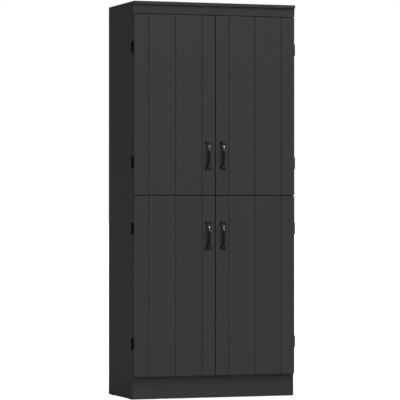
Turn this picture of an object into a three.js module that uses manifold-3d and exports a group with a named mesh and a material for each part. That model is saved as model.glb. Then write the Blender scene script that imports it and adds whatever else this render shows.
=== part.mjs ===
// Pantry cabinet: two pairs of board-fronted doors on a board carcass with a toe kick.
// Millimetres. +Z is up, the doors face -Y, and +X is to the right of someone facing the doors.
// The origin is on the floor, under the middle of the whole cabinet with its handles.
import * as THREE from 'three';
import { mergeVertices } from 'three/addons/utils/BufferGeometryUtils.js';
import Module from 'manifold-3d';

const wasm = await Module();
wasm.setup();

// ---------------------------------------------------------------- driving dimensions
const cabinetWidth = 790;
const cabinetHeight = 1830;
const carcassDepth = 375;
const boardThickness = 15;
const fitGap = 0.2;

const glideHeight = 3;
const glideRadius = 7;
const glideInset = 45;

const bottomPanelUnderside = 100;
const toeKickSetback = 2;

const doorHeight = 830;
const doorThickness = 18;
const doorStandOff = 3;
const doorSideInset = 2.5;
const doorMiddleGap = 3;
const doorEdgeRadius = 2.5;
const lowerDoorBottom = 107;
const gapBetweenDoorRows = 4;

const innerBoardWidth = 64;
const boardPitch = 129.5;
const grooveCount = 3;
const grooveWidth = 5;
const grooveDepth = 2.4;

const fasciaThickness = 18;
const fasciaSideInset = 1;
const fasciaToDoorGap = 3;
const topOverhang = 4;

const backThickness = 3;
const backInset = 11;
const backGrooveDepth = 6;
const shelfSideClearance = 1;
const shelfFrontSetback = 8;
const upperShelfCount = 2;
const lowerShelfCount = 1;

const hingeHeight = 51;
const hingeEndDistance = 150;
const hingeAxisOutside = 4.1;
const knuckleRadius = 3.5;
const knuckleGap = 0.3;
const pinRadius = 1.5;
const pinHoleRadius = 1.56;
const pinHeadRadius = 2.5;
const pinHeadHeight = 1.6;
const pinHeadBevel = 0.8;
const leafThickness = 1.2;
const leafWidth = 14;
const leafFitGap = 0.1;

const handleLength = 128;
const handleReach = 22;
const handleStrap = 4.5;
const handleFootThickness = 4;
const handleFootLength = 14;
const handleFootWidth = 32;
const handleNeckWidth = 7.8;
const handleNeckPlace = 32;
const handleGripWidth = 14.5;
const handleGripLength = 44;
const handleFootCorner = 5;
const handleCurveSteps = 5;
const handleBendLead = 0.125;
const handleFromMiddle = 36;
const handleFromDoorEnd = 183;

const catchWidth = 46;
const catchDepth = 16;
const catchHeight = 12;
const strikeWidth = 20;
const strikeHeight = 12;
const strikeThickness = 1;
const strikeFromFreeEdge = 3;

const bracketLeg = 40;
const bracketWidth = 20;
const bracketThickness = 2;
const bracketFromMiddle = 250;

const roundSegments = 16;
const edgeCurveSteps = 4;
const overshoot = 1;
const samePlace = 1e-6;

// ---------------------------------------------------------------- derived places
const halfWidth = cabinetWidth / 2;
const innerHalfWidth = halfWidth - boardThickness;
const topUnderside = cabinetHeight - boardThickness;
const backFront = carcassDepth - backInset - backThickness;
const shelfRear = backFront - fitGap;
const bottomPanelTop = bottomPanelUnderside + boardThickness;
const doorWidth = halfWidth - doorSideInset - doorMiddleGap / 2;
const doorFront = -(doorStandOff + doorThickness);
const hingeAxisX = halfWidth + hingeAxisOutside;
const hingeAxisY = -doorStandOff / 2;
const doorEdgeFromAxis = hingeAxisOutside + doorSideInset;
const upperDoorBottom = lowerDoorBottom + doorHeight + gapBetweenDoorRows;
const middleShelfCentre = upperDoorBottom - gapBetweenDoorRows / 2;
const middleShelfUnderside = middleShelfCentre - boardThickness / 2;
const middleShelfTop = middleShelfCentre + boardThickness / 2;
const fasciaUnderside = upperDoorBottom + doorHeight + fasciaToDoorGap;
const wholeDepthCentre = (carcassDepth + doorFront - leafFitGap - handleReach) / 2;

// ---------------------------------------------------------------- finishes
const finish = (color, roughness, metalness) => ({ color, roughness, metalness });
const charcoalBoard = finish(0x3a3a3b, 0.55, 0);
const doorPaint = finish(0x3b3b3c, 0.5, 0);
const backBoard = finish(0x333334, 0.7, 0);
const blackMetal = finish(0x121213, 0.35, 0.6);
const bareSteel = finish(0x9a9a9c, 0.35, 1);
const blackPlastic = finish(0x1a1a1b, 0.6, 0);

// ---------------------------------------------------------------- helpers
function toSolid(geometry) {
  const bare = geometry.clone();
  bare.deleteAttribute('normal');
  bare.deleteAttribute('uv');
  const merged = mergeVertices(bare);
  const vertProperties = merged.attributes.position.array;
  const triVerts = new Uint32Array(merged.index.array);
  return new wasm.Manifold(new wasm.Mesh({ numProp: 3, vertProperties, triVerts }));
}

function toGeometry(solid) {
  const mesh = solid.getMesh();
  const geometry = new THREE.BufferGeometry();
  geometry.setAttribute('position', new THREE.BufferAttribute(mesh.vertProperties, mesh.numProp));
  geometry.setIndex(new THREE.BufferAttribute(mesh.triVerts, 1));
  geometry.computeVertexNormals();
  return geometry;
}

function addMesh(group, name, geometry, look) {
  const mesh = new THREE.Mesh(geometry, new THREE.MeshStandardMaterial(look));
  mesh.name = name;
  group.add(mesh);
  return mesh;
}

// A box from its ranges along X, Y and Z.
function boxBetween([x0, x1], [y0, y1], [z0, z1]) {
  const box = new THREE.BoxGeometry(x1 - x0, y1 - y0, z1 - z0);
  return box.translate((x0 + x1) / 2, (y0 + y1) / 2, (z0 + z1) / 2);
}

function addBoard(group, name, xRange, yRange, zRange, look = charcoalBoard) {
  return addMesh(group, name, boxBetween(xRange, yRange, zRange), look);
}

// The two ends of a span on one side of the middle plane, in rising order.
function sideRange(side, near, far) {
  return side < 0 ? [-far, -near] : [near, far];
}

function uprightCylinder(radius, bottom, top) {
  const cylinder = new THREE.CylinderGeometry(radius, radius, top - bottom, roundSegments);
  cylinder.rotateX(Math.PI / 2);
  return cylinder.translate(0, 0, (bottom + top) / 2);
}

function extrudeAlong(shape, length, axes) {
  const settings = { depth: length, bevelEnabled: false, curveSegments: edgeCurveSteps };
  const geometry = new THREE.ExtrudeGeometry(shape, settings);
  return geometry.applyMatrix4(new THREE.Matrix4().makeBasis(...axes));
}

const axisX = new THREE.Vector3(1, 0, 0);
const axisY = new THREE.Vector3(0, 1, 0);
const axisZ = new THREE.Vector3(0, 0, 1);
const frontwards = new THREE.Vector3(0, -1, 0);
const downwards = new THREE.Vector3(0, 0, -1);

const sides = [
  { word: 'left', sign: -1 },
  { word: 'right', sign: 1 },
];
const rows = [
  { word: 'upper', bottom: upperDoorBottom, handleHeight: handleFromDoorEnd },
  { word: 'lower', bottom: lowerDoorBottom, handleHeight: doorHeight - handleFromDoorEnd },
];

// ---------------------------------------------------------------- carcass boards
function addSidePanel(group, side) {
  const panelX = sideRange(side.sign, innerHalfWidth, halfWidth);
  const panel = toSolid(boxBetween(panelX, [0, carcassDepth], [glideHeight, topUnderside - fitGap]));
  const grooveX = sideRange(side.sign, innerHalfWidth - overshoot, innerHalfWidth + backGrooveDepth);
  const grooveY = [backFront - fitGap, backFront + backThickness + fitGap];
  const grooveZ = [glideHeight - overshoot, topUnderside + overshoot];
  const groove = toSolid(boxBetween(grooveX, grooveY, grooveZ));
  addMesh(group, `${side.word}_side_panel`, toGeometry(panel.subtract(groove)), charcoalBoard);
}

function addCarcassBoards(group) {
  sides.forEach((side) => addSidePanel(group, side));
  const between = [-innerHalfWidth + fitGap, innerHalfWidth - fitGap];
  const topY = [doorFront - topOverhang, carcassDepth];
  const fasciaX = [-halfWidth + fasciaSideInset, halfWidth - fasciaSideInset];
  const fasciaY = [-fasciaThickness - fitGap, -fitGap];
  const kickZ = [glideHeight, bottomPanelUnderside - fitGap];
  addBoard(group, 'top_panel', [-halfWidth, halfWidth], topY, [topUnderside, cabinetHeight]);
  addBoard(group, 'top_fascia', fasciaX, fasciaY, [fasciaUnderside, topUnderside - fitGap], doorPaint);
  addBoard(group, 'fixed_middle_shelf', between, [0, shelfRear], [middleShelfUnderside, middleShelfTop]);
  addBoard(group, 'bottom_panel', between, [0, shelfRear], [bottomPanelUnderside, bottomPanelTop]);
  addBoard(group, 'toe_kick', between, [toeKickSetback, toeKickSetback + boardThickness], kickZ);
  addBoard(group, 'rear_plinth_rail', between, [shelfRear - boardThickness, shelfRear], kickZ);
}

function addBackPanels(group) {
  const edge = innerHalfWidth + backGrooveDepth - fitGap;
  const yRange = [backFront, backFront + backThickness];
  const joint = middleShelfCentre;
  const upperZ = [joint + fitGap, topUnderside - fitGap];
  const lowerZ = [bottomPanelUnderside, joint - fitGap];
  addBoard(group, 'back_panel_upper', [-edge, edge], yRange, upperZ, backBoard);
  addBoard(group, 'back_panel_lower', [-edge, edge], yRange, lowerZ, backBoard);
}

// Loose shelves share a bay's height equally.
function addShelves(group, word, bayBottom, bayTop, count) {
  const edge = innerHalfWidth - shelfSideClearance;
  const clear = (bayTop - bayBottom - count * boardThickness) / (count + 1);
  for (let index = 1; index <= count; index += 1) {
    const underside = bayBottom + index * clear + (index - 1) * boardThickness;
    const zRange = [underside, underside + boardThickness];
    const yRange = [shelfFrontSetback, shelfRear - shelfSideClearance];
    addBoard(group, `${word}_adjustable_shelf_${index}`, [-edge, edge], yRange, zRange);
  }
}

function addGlides(group) {
  const places = [
    { word: 'front', y: glideInset },
    { word: 'rear', y: carcassDepth - glideInset },
  ];
  for (const side of sides) {
    for (const place of places) {
      const glide = uprightCylinder(glideRadius, 0, glideHeight - fitGap);
      const mesh = addMesh(group, `floor_glide_${place.word}_${side.word}`, glide, blackPlastic);
      mesh.position.set(side.sign * (halfWidth - boardThickness / 2), place.y, 0);
    }
  }
}

// A bent steel angle between the top panel and the back panel, for a screw into the wall.
function addWallBrackets(group) {
  const shape = new THREE.Shape();
  shape.moveTo(0, 0);
  shape.lineTo(-bracketLeg, 0);
  shape.lineTo(-bracketLeg, -bracketThickness);
  shape.lineTo(-bracketThickness, -bracketThickness);
  shape.lineTo(-bracketThickness, -bracketLeg);
  shape.lineTo(0, -bracketLeg);
  shape.closePath();
  for (const side of sides) {
    const bracket = extrudeAlong(shape, bracketWidth, [axisY, axisZ, axisX]);
    const mesh = addMesh(group, `wall_bracket_${side.word}`, bracket, bareSteel);
    const x = side.sign * bracketFromMiddle - bracketWidth / 2;
    mesh.position.set(x, backFront - fitGap, topUnderside - fitGap);
  }
}

// Double magnetic catches stand on and hang under the fixed shelf, one for each row of doors.
function addCatches(group) {
  const catchFront = -doorStandOff + leafFitGap + strikeThickness + fitGap;
  const xRange = [-catchWidth / 2, catchWidth / 2];
  const yRange = [catchFront, catchFront + catchDepth];
  const upperZ = [middleShelfTop + fitGap, middleShelfTop + fitGap + catchHeight];
  const lowerZ = [middleShelfUnderside - fitGap - catchHeight, middleShelfUnderside - fitGap];
  addBoard(group, 'upper_magnetic_catch', xRange, yRange, upperZ, blackPlastic);
  addBoard(group, 'lower_magnetic_catch', xRange, yRange, lowerZ, blackPlastic);
}

// ---------------------------------------------------------------- hinges
const knuckleHeight = hingeHeight / 3;

// One leaf of a three-knuckle hinge about the local Z axis, centred on its height.
// The frame leaf holds the two outer knuckles, and the door leaf holds the middle one.
function hingeLeaf(side, isFrameLeaf) {
  const leafBack = isFrameLeaf ? -hingeAxisY - leafFitGap : hingeAxisY + leafFitGap + leafThickness;
  const boardEdge = isFrameLeaf ? hingeAxisOutside : doorEdgeFromAxis;
  const leafX = sideRange(-side.sign, 0, boardEdge + leafWidth);
  const leafY = [leafBack - leafThickness, leafBack];
  const middle = [-knuckleHeight / 2 + knuckleGap, knuckleHeight / 2 - knuckleGap];
  const ends = [
    [-hingeHeight / 2, -knuckleHeight / 2],
    [knuckleHeight / 2, hingeHeight / 2],
  ];
  const ownKnuckles = isFrameLeaf ? ends : [middle];
  const otherKnuckles = isFrameLeaf ? [[-knuckleHeight / 2, knuckleHeight / 2]] : ends;
  let leaf = toSolid(boxBetween(leafX, leafY, [-hingeHeight / 2, hingeHeight / 2]));
  for (const [bottom, top] of otherKnuckles) {
    const reach = isFrameLeaf ? 0 : knuckleGap;
    const room = uprightCylinder(knuckleRadius + 2 * knuckleGap, bottom - reach, top + reach);
    leaf = leaf.subtract(toSolid(room));
  }
  for (const [bottom, top] of ownKnuckles) {
    leaf = leaf.add(toSolid(uprightCylinder(knuckleRadius, bottom, top)));
  }
  const pinHole = toSolid(uprightCylinder(pinHoleRadius, -hingeHeight, hingeHeight));
  return toGeometry(leaf.subtract(pinHole));
}

function hingePin() {
  const half = hingeHeight / 2 + knuckleGap;
  const profile = [
    new THREE.Vector2(0, -half - pinHeadHeight),
    new THREE.Vector2(pinHeadRadius - pinHeadBevel, -half - pinHeadHeight),
    new THREE.Vector2(pinHeadRadius, -half - pinHeadHeight / 2),
    new THREE.Vector2(pinHeadRadius, -half),
    new THREE.Vector2(pinRadius, -half),
    new THREE.Vector2(pinRadius, half),
    new THREE.Vector2(pinHeadRadius, half),
    new THREE.Vector2(pinHeadRadius, half + pinHeadHeight / 2),
    new THREE.Vector2(pinHeadRadius - pinHeadBevel, half + pinHeadHeight),
    new THREE.Vector2(0, half + pinHeadHeight),
  ];
  return new THREE.LatheGeometry(profile, roundSegments).rotateX(Math.PI / 2);
}

const hingePlaces = [
  { word: 'top', height: doorHeight - hingeEndDistance },
  { word: 'bottom', height: hingeEndDistance },
];

function addFrameHinges(group, row, side) {
  for (const place of hingePlaces) {
    const name = `${row.word}_${side.word}_${place.word}`;
    const leaf = addMesh(group, `hinge_frame_leaf_${name}`, hingeLeaf(side, true), blackMetal);
    const pin = addMesh(group, `hinge_pin_${name}`, hingePin(), blackMetal);
    for (const mesh of [leaf, pin]) {
      mesh.position.set(side.sign * hingeAxisX, hingeAxisY, row.bottom + place.height);
    }
  }
}

// ---------------------------------------------------------------- doors
// A slab outline: X runs along its length and Y from its back to its front, whose corners are round.
function slabOutline(length, grooveCentres) {
  const outline = new THREE.Shape();
  const front = doorThickness;
  const radius = doorEdgeRadius;
  outline.moveTo(0, 0);
  outline.lineTo(length, 0);
  outline.lineTo(length, front - radius);
  outline.absarc(length - radius, front - radius, radius, 0, Math.PI / 2, false);
  for (const centre of [...grooveCentres].sort((a, b) => b - a)) {
    outline.lineTo(centre + grooveWidth / 2, front);
    outline.lineTo(centre, front - grooveDepth);
    outline.lineTo(centre - grooveWidth / 2, front);
  }
  outline.lineTo(radius, front);
  outline.absarc(radius, front - radius, radius, Math.PI / 2, Math.PI, false);
  outline.closePath();
  return outline;
}

// The slab is rounded along all four front edges: an upright profile meets a level one.
function doorSlab(side) {
  const grooves = [];
  for (let index = 0; index < grooveCount; index += 1) {
    const fromFreeEdge = innerBoardWidth + index * boardPitch;
    grooves.push(side.sign < 0 ? doorWidth - fromFreeEdge : fromFreeEdge);
  }
  const across = extrudeAlong(slabOutline(doorWidth, grooves), doorHeight, [axisX, frontwards, downwards]);
  across.translate(0, 0, doorHeight);
  const upright = extrudeAlong(slabOutline(doorHeight, []), doorWidth, [axisZ, frontwards, axisX]);
  return toGeometry(toSolid(across).intersect(toSolid(upright)));
}

// Joins stretches of points into one closed shape, leaving out a point that repeats the one before it.
function closedShape(stretches) {
  const points = stretches.flat();
  const distinct = points.filter((point, index) => point.distanceTo(points.at(index - 1)) > samePlace);
  return new THREE.Shape(distinct);
}

function flipped(points, signX, signY) {
  return points.map((point) => new THREE.Vector2(point.x * signX, point.y * signY));
}

// The handle's front outline: grip, neck and flared foot, mirrored about both middle lines.
function handleOutline() {
  const end = handleLength / 2;
  const foot = handleFootWidth / 2;
  const neck = handleNeckWidth / 2;
  const grip = handleGripWidth / 2;
  const gripEnd = handleGripLength / 2;
  const ease = (handleNeckPlace - gripEnd) / 2;
  const quarter = new THREE.Path();
  quarter.moveTo(grip, 0);
  quarter.lineTo(grip, gripEnd);
  quarter.bezierCurveTo(grip, gripEnd + ease, neck, handleNeckPlace - ease, neck, handleNeckPlace);
  quarter.quadraticCurveTo(neck, handleNeckPlace + ease, foot, end - handleFootCorner);
  quarter.quadraticCurveTo(foot, end, foot - handleFootCorner, end);
  quarter.lineTo(0, end);
  const points = quarter.getPoints(handleCurveSteps);
  const back = [...points].reverse();
  return closedShape([points, flipped(back, -1, 1), flipped(points, -1, -1), flipped(back, 1, -1)]);
}

// The handle's side outline: X runs along its length and Y away from the door.
function handleArch() {
  const end = handleLength / 2;
  const footEnd = end - handleFootLength;
  const gripEnd = handleGripLength / 2;
  const under = handleReach - handleStrap;
  const ease = (footEnd - gripEnd) / 2;
  const half = new THREE.Path();
  half.moveTo(0, under);
  half.lineTo(gripEnd - ease * handleBendLead, under);
  half.bezierCurveTo(gripEnd + ease, under, footEnd - ease, 0, footEnd, 0);
  half.lineTo(end, 0);
  half.lineTo(end, handleFootThickness);
  half.lineTo(footEnd + ease * handleBendLead, handleFootThickness);
  half.bezierCurveTo(footEnd - ease, handleFootThickness, gripEnd + ease, handleReach, gripEnd, handleReach);
  half.lineTo(0, handleReach);
  const points = half.getPoints(handleCurveSteps);
  return closedShape([points, flipped([...points].reverse(), -1, 1)]);
}

function handleBar() {
  const frontDepth = handleReach + 2 * overshoot;
  const front = extrudeAlong(handleOutline(), frontDepth, [axisX, axisZ, frontwards]);
  front.translate(0, overshoot, 0);
  const archWidth = handleFootWidth + 2 * overshoot;
  const arch = extrudeAlong(handleArch(), archWidth, [axisZ, frontwards, axisX]);
  arch.translate(-archWidth / 2, 0, 0);
  return toGeometry(toSolid(front).intersect(toSolid(arch)));
}

function addStrikePlate(group, row, side, backOfDoor) {
  const nearFree = doorEdgeFromAxis + doorWidth - strikeFromFreeEdge;
  const xRange = sideRange(-side.sign, nearFree - strikeWidth, nearFree);
  const yRange = [backOfDoor + leafFitGap, backOfDoor + leafFitGap + strikeThickness];
  const catchMiddle = boardThickness / 2 + fitGap + catchHeight / 2;
  const worldZ = middleShelfCentre + (row.word === 'upper' ? catchMiddle : -catchMiddle);
  const localZ = worldZ - row.bottom;
  const zRange = [localZ - strikeHeight / 2, localZ + strikeHeight / 2];
  addBoard(group, `strike_plate_${row.word}_${side.word}`, xRange, yRange, zRange, bareSteel);
}

// A door group stands at its hinge axis, level with the door's bottom edge.
function addDoor(parent, row, side) {
  const group = new THREE.Group();
  group.position.set(side.sign * hingeAxisX, hingeAxisY, row.bottom);
  parent.add(group);
  const backOfDoor = -doorStandOff - hingeAxisY;
  const [slabStart] = sideRange(-side.sign, doorEdgeFromAxis, doorEdgeFromAxis + doorWidth);
  const slab = addMesh(group, `door_${row.word}_${side.word}`, doorSlab(side), doorPaint);
  slab.position.set(slabStart, backOfDoor, 0);
  for (const place of hingePlaces) {
    const name = `hinge_door_leaf_${row.word}_${side.word}_${place.word}`;
    const leaf = addMesh(group, name, hingeLeaf(side, false), blackMetal);
    leaf.position.z = place.height;
  }
  const handle = addMesh(group, `handle_${row.word}_${side.word}`, handleBar(), blackMetal);
  const handleX = side.sign * (handleFromMiddle - hingeAxisX);
  handle.position.set(handleX, backOfDoor - doorThickness - leafFitGap, row.handleHeight);
  addStrikePlate(group, row, side, backOfDoor);
}

// ---------------------------------------------------------------- assembly
const cabinet = new THREE.Group();
cabinet.position.y = -wholeDepthCentre;
addCarcassBoards(cabinet);
addBackPanels(cabinet);
addShelves(cabinet, 'upper', middleShelfTop, topUnderside, upperShelfCount);
addShelves(cabinet, 'lower', bottomPanelTop, middleShelfUnderside, lowerShelfCount);
addGlides(cabinet);
addWallBrackets(cabinet);
addCatches(cabinet);
for (const row of rows) {
  for (const side of sides) {
    addFrameHinges(cabinet, row, side);
    addDoor(cabinet, row, side);
  }
}

export default cabinet;
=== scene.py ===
"""Dresses the pantry cabinet: boards, grooved doors, hinges, pulls and small fittings.

Metres, in the part's own frame: +Z is up, the doors face -Y, and +X is to the right of
someone who faces the doors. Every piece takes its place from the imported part.
"""
import logging
import math
from collections.abc import Callable, Sequence
from dataclasses import dataclass, replace
from enum import Enum

import bmesh
import bpy
from mathutils import Matrix, Vector


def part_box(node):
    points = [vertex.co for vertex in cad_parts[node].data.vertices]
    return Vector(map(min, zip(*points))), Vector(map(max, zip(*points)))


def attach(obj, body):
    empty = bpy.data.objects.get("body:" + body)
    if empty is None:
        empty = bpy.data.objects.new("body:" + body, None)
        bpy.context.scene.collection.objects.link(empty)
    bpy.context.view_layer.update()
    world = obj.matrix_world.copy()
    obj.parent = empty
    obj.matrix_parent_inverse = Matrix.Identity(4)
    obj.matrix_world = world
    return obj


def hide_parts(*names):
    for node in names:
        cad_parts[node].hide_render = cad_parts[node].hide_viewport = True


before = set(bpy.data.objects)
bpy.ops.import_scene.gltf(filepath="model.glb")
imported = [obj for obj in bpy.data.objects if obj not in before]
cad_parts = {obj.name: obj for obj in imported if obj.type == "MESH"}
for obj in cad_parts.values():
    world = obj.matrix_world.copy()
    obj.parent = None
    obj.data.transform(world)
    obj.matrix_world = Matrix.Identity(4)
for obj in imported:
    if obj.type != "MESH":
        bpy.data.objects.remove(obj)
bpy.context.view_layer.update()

LOG = logging.getLogger("pantry_cabinet")
MM = 0.001
QUARTER = math.pi / 2
CARCASS = "carcass"
HOLE_SIDES = 12
# A face whose normal has a lower Y than this looks to the front.
EDGE_FACING = -0.5
SHARP_CORNER = math.radians(60)
Profile = Sequence[tuple[float, float]]
Solid = bmesh.types.BMesh
Mesh = bpy.types.Mesh
Piece = bpy.types.Object
Socket = bpy.types.NodeSocket


# ------------------------------------------------------------------ named options
class Side(Enum):
    """A side of the cabinet, valued by its direction along X."""

    LEFT = -1
    RIGHT = 1

    @property
    def word(self) -> str:
        """The side's name as the part spells it."""
        return self.name.lower()


class Row(Enum):
    """A row of doors, valued by its name in the part."""

    UPPER = "upper"
    LOWER = "lower"


class HingePlace(Enum):
    """A hinge's place on its door, valued by its name in the part."""

    TOP = "top"
    BOTTOM = "bottom"


class Slot(Enum):
    """The record's material slots."""

    BOARD = "charcoal_board"
    DOOR = "painted_door_board"
    BACK = "back_board"
    HANDLE = "handle_black_metal"
    HINGE = "hinge_black_metal"
    STEEL = "bright_steel"
    CATCH = "catch_plastic"
    GLIDE = "glide_plastic"


class Relief(Enum):
    """The kinds of fine relief that a finish may have."""

    ORANGE_PEEL = "orange peel"
    PEBBLE = "pebble"
    FIBRE = "fibre"
    SPANGLE = "spangle"


class Head(Enum):
    """Small fittings that repeat: a turned profile in shares of radius and height, and a cross or not.

    Height 0 is the surface that the fitting stands on.
    """

    DOMED = (((0, -0.3), (1, -0.3), (1, 0.3), (0.93, 0.62), (0.7, 0.88), (0.35, 1), (0, 1)), True)
    FLUSH = (((0, -1), (0.6, -1), (1, 0), (0.97, 0.7), (0.85, 1), (0, 1)), True)
    NAIL = (((0, -0.3), (1, -0.3), (1, 0.6), (0.8, 1), (0, 1)), False)
    PEG = (
        ((0, -0.5), (1, -0.5), (1, 0), (1.4, 0), (1.4, 0.12), (1, 0.14), (1, 0.9), (0.85, 1), (0, 1)),
        False,
    )
    CAM = (((0, -0.5), (1, -0.5), (1, 0.5), (0.95, 1), (0, 1)), True)


# ------------------------------------------------------------------ node trees
class NodeSheet:
    """A node tree that is laid out by calls."""

    def __init__(self, tree: bpy.types.NodeTree) -> None:
        """Keeps the tree."""
        self.tree = tree

    def node(self, kind: str, wires: dict | None = None, **settings: object) -> bpy.types.Node:
        """Adds one node.

        Args:
            kind: The node's type.
            wires: A value or another node's output for each input, by name or number.
            settings: The node's own properties.

        Returns:
            The new node.
        """
        node = self.tree.nodes.new(kind)
        for key, value in settings.items():
            setattr(node, key, value)
        for key, value in (wires or {}).items():
            if isinstance(value, Socket):
                self.tree.links.new(value, node.inputs[key])
            else:
                node.inputs[key].default_value = value
        return node

    def maths(self, operation: str, first: object, second: object) -> Socket:
        """Adds a sum of two values or outputs and returns its result."""
        return self.node("ShaderNodeMath", {0: first, 1: second}, operation=operation).outputs[0]


class ShapeTree(NodeSheet):
    """A geometry node tree with named inputs."""

    def __init__(self, name: str, inputs: dict[str, Sequence[str]]) -> None:
        """Opens the tree.

        Args:
            name: The tree's name.
            inputs: The names of the inputs of each kind, without the NodeSocket prefix.
        """
        super().__init__(bpy.data.node_groups.new(name, "GeometryNodeTree"))
        sockets = self.tree.interface
        sockets.new_socket("Geometry", in_out="OUTPUT", socket_type="NodeSocketGeometry")
        for kind, labels in {"Geometry": ["Geometry"], **inputs}.items():
            for label in labels:
                sockets.new_socket(label, in_out="INPUT", socket_type=f"NodeSocket{kind}")
        self.given = self.node("NodeGroupInput").outputs

    def vector(self, x: object = 0.0, y: object = 0.0, z: object = 0.0) -> Socket:
        """Adds a vector of three values or outputs and returns it."""
        return self.node("ShaderNodeCombineXYZ", {"X": x, "Y": y, "Z": z}).outputs[0]

    def finish(self, geometry: Socket) -> None:
        """Makes the instances real, gives them the Finish input and closes the tree."""
        real = self.node("GeometryNodeRealizeInstances", {"Geometry": geometry})
        wires = {"Geometry": real.outputs[0], "Material": self.given["Finish"]}
        painted = self.node("GeometryNodeSetMaterial", wires)
        self.node("NodeGroupOutput", {"Geometry": painted.outputs[0]})

    def run(self, mesh: Mesh, values: dict[str, object]) -> Mesh:
        """Sends a mesh through the tree.

        Args:
            mesh: The mesh that the tree starts from.
            values: A value for each named input.

        Returns:
            The result as a plain mesh.
        """
        carrier = linked(self.tree.name, mesh)
        modifier = carrier.modifiers.new(self.tree.name, "NODES")
        modifier.node_group = self.tree
        for item in self.tree.interface.items_tree:
            if item.in_out == "INPUT" and item.name in values:
                modifier[item.identifier] = values[item.name]
        result = evaluated_mesh(carrier)
        carrier.modifiers.remove(modifier)
        bpy.data.objects.remove(carrier)
        return result


def linked(name: str, data: bpy.types.ID) -> Piece:
    """Returns a new object for a mesh, a light or a camera, in the scene."""
    made = bpy.data.objects.new(name, data)
    bpy.context.scene.collection.objects.link(made)
    return made


def as_mesh(name: str, solid: Solid) -> Mesh:
    """Returns a solid as a mesh, and frees the solid."""
    mesh = bpy.data.meshes.new(name)
    solid.to_mesh(mesh)
    solid.free()
    return mesh


def evaluated_mesh(carrier: Piece) -> Mesh:
    """Returns a plain mesh of an object with its modifiers applied."""
    bpy.context.view_layer.update()
    graph = bpy.context.evaluated_depsgraph_get()
    return bpy.data.meshes.new_from_object(carrier.evaluated_get(graph), depsgraph=graph)


# ------------------------------------------------------------------ finishes
CLOUD_DETAIL = 4.0
FIBRE_STRETCH = 0.15
# The detail and the roughness of the noise that each of these reliefs is made of.
NOISE_GRAIN = {Relief.ORANGE_PEEL: (1.5, 0.45), Relief.FIBRE: (6.0, 0.65)}


@dataclass(frozen=True)
class Finish:
    """A surface finish: a colour that wanders a little, a gloss and a fine relief."""

    name: str
    slot: Slot
    colour: tuple[float, float, float]
    mottle: float
    mottle_size: float
    roughness: float
    roughness_spread: float
    relief: Relief
    relief_size: float
    relief_height: float
    metallic: float = 0.0
    specular: float = 0.5

    def material(self) -> bpy.types.Material:
        """Builds the material once, and returns it."""
        made = bpy.data.materials.get(self.name)
        if made is not None:
            return made
        made = bpy.data.materials.new(self.name)
        made.use_nodes = True
        made.node_tree.nodes.clear()
        sheet = NodeSheet(made.node_tree)
        place = sheet.node("ShaderNodeTexCoord").outputs["Object"]
        pattern = self._pattern(sheet, place)
        wires = {"Vector": place, "Scale": 1 / self.mottle_size, "Detail": CLOUD_DETAIL}
        cloud = sheet.node("ShaderNodeTexNoise", wires).outputs["Fac"]
        shades = {0: sheet.maths("MULTIPLY", sheet.maths("ADD", cloud, pattern), 0.5)}
        for index, sign in ((6, -1), (7, 1)):
            shades[index] = (*(part * (1 + sign * self.mottle) for part in self.colour), 1.0)
        colour = sheet.node("ShaderNodeMix", shades, data_type="RGBA").outputs[2]
        low, high = self.roughness - self.roughness_spread, self.roughness + self.roughness_spread
        gloss = sheet.node("ShaderNodeMapRange", {"Value": cloud, "To Min": low, "To Max": high})
        bump = sheet.node("ShaderNodeBump", {"Height": pattern, "Distance": self.relief_height})
        shader = sheet.node(
            "ShaderNodeBsdfPrincipled",
            {
                "Base Color": colour,
                "Roughness": gloss.outputs[0],
                "Metallic": self.metallic,
                "Specular IOR Level": self.specular,
                "Normal": bump.outputs[0],
            },
        )
        sheet.node("ShaderNodeOutputMaterial", {"Surface": shader.outputs[0]})
        return made

    def _pattern(self, sheet: NodeSheet, place: Socket) -> Socket:
        """Lays out the relief.

        Args:
            sheet: The material's nodes.
            place: The object coordinates.

        Returns:
            The relief's height, from 0 to 1.
        """
        scale = 1 / self.relief_size
        if self.relief is Relief.FIBRE:
            wires = {"Vector": place, "Scale": (FIBRE_STRETCH, 1.0, 1.0)}
            place = sheet.node("ShaderNodeMapping", wires).outputs[0]
        wires = {"Vector": place, "Scale": scale}
        if self.relief in NOISE_GRAIN:
            wires["Detail"], wires["Roughness"] = NOISE_GRAIN[self.relief]
            return sheet.node("ShaderNodeTexNoise", wires).outputs["Fac"]
        if self.relief is Relief.PEBBLE:
            cells = sheet.node("ShaderNodeTexVoronoi", wires, feature="SMOOTH_F1")
            return cells.outputs["Distance"]
        cells = sheet.node("ShaderNodeTexVoronoi", wires, feature="F1")
        return sheet.node("ShaderNodeSeparateColor", {"Color": cells.outputs["Color"]}).outputs[0]


DOOR_PAINT = Finish(
    name="satin_charcoal_paint",
    slot=Slot.DOOR,
    colour=(0.031, 0.031, 0.032),
    mottle=0.06,
    mottle_size=60 * MM,
    roughness=0.5,
    roughness_spread=0.06,
    relief=Relief.ORANGE_PEEL,
    relief_size=1.6 * MM,
    relief_height=0.02 * MM,
    specular=0.25,
)
EDGE_BAND = replace(DOOR_PAINT, name="satin_charcoal_edge_band", slot=Slot.BOARD)
BOARD_FACE = Finish(
    name="charcoal_board_face",
    slot=Slot.BOARD,
    colour=(0.030, 0.030, 0.031),
    mottle=0.07,
    mottle_size=45 * MM,
    roughness=0.56,
    roughness_spread=0.05,
    relief=Relief.PEBBLE,
    relief_size=0.9 * MM,
    relief_height=0.03 * MM,
    specular=0.06,
)
HARDBOARD = Finish(
    name="charcoal_hardboard",
    slot=Slot.BACK,
    colour=(0.027, 0.026, 0.026),
    mottle=0.16,
    mottle_size=30 * MM,
    roughness=0.72,
    roughness_spread=0.06,
    relief=Relief.FIBRE,
    relief_size=1.2 * MM,
    relief_height=0.05 * MM,
    specular=0.3,
)
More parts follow.
